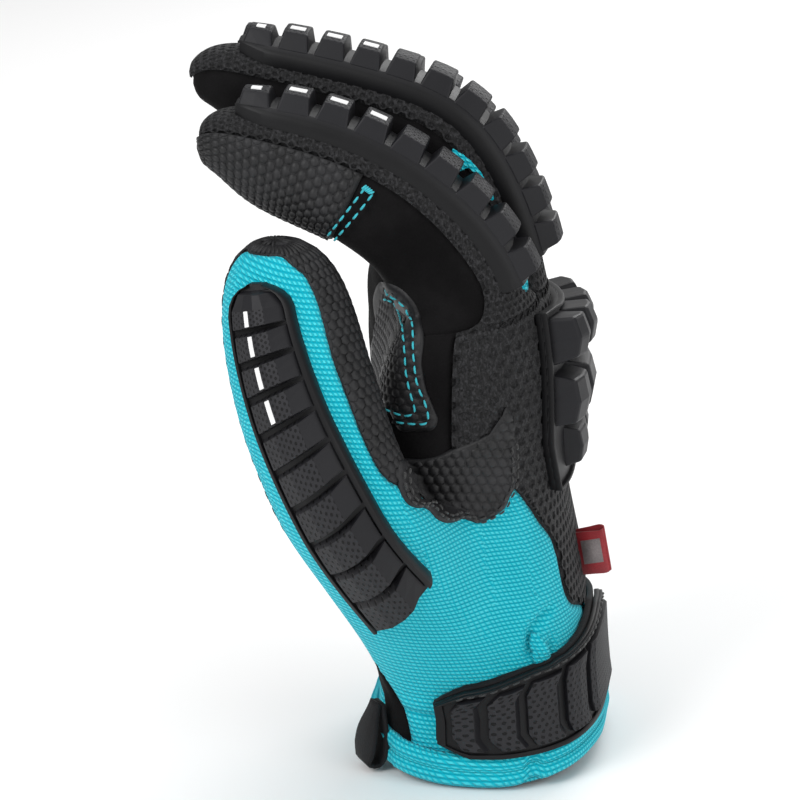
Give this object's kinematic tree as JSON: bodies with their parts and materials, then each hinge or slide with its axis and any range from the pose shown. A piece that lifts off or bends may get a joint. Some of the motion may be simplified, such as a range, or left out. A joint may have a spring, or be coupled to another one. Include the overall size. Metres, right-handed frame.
{
  "type": "impact glove",
  "caption": "Cut-and-sewn impact work glove for the right hand, worn form with curled fingers, moulded toothed guards on fingers, thumb and knuckles, and a wrist strap",
  "frame": {"origin": "Middle of the cuff's mouth, in the plane of its lower edge, where the hand goes in", "axes": "+Z from the cuff's mouth up the hand to the knuckles and fingers, +X out of the back of the hand with the palm and the curled fingertips towards -X, -Y the thumb's side"},
  "size_m": [0.1091, 0.1257, 0.1908],
  "materials": {
    "knit": "teal knitted cloth, rows of small slanted stitches",
    "mesh": "black spacer mesh cloth with small round holes",
    "suede": "black synthetic suede, matt",
    "leather": "black synthetic leather embossed with small honeycomb cells",
    "rubber": "charcoal moulded thermoplastic rubber, raised faces dotted with small pits",
    "webbing": "black woven band",
    "tag": "plain red woven tag, folded"
  },
  "bodies": {
    "root": {"cuff": "knit", "cuff_hem": "knit", "thumb_panel": "knit", "side_panel": "knit", "back_panel": "mesh", "palm_panel": "suede", "index_sleeve": "suede", "middle_sleeve": "suede", "ring_sleeve": "suede", "little_sleeve": "suede", "thumb_front": "leather", "index_patch": "leather", "palm_patch": "leather", "saddle_patch": "leather", "index_guard": "rubber", "middle_guard": "rubber", "ring_guard": "rubber", "little_guard": "rubber", "thumb_guard": "rubber", "knuckle_guard": "rubber", "strap_pad": "rubber", "strap_band": "webbing", "pull_tab": "webbing", "tag": "tag"}
  },
  "joints": []
}
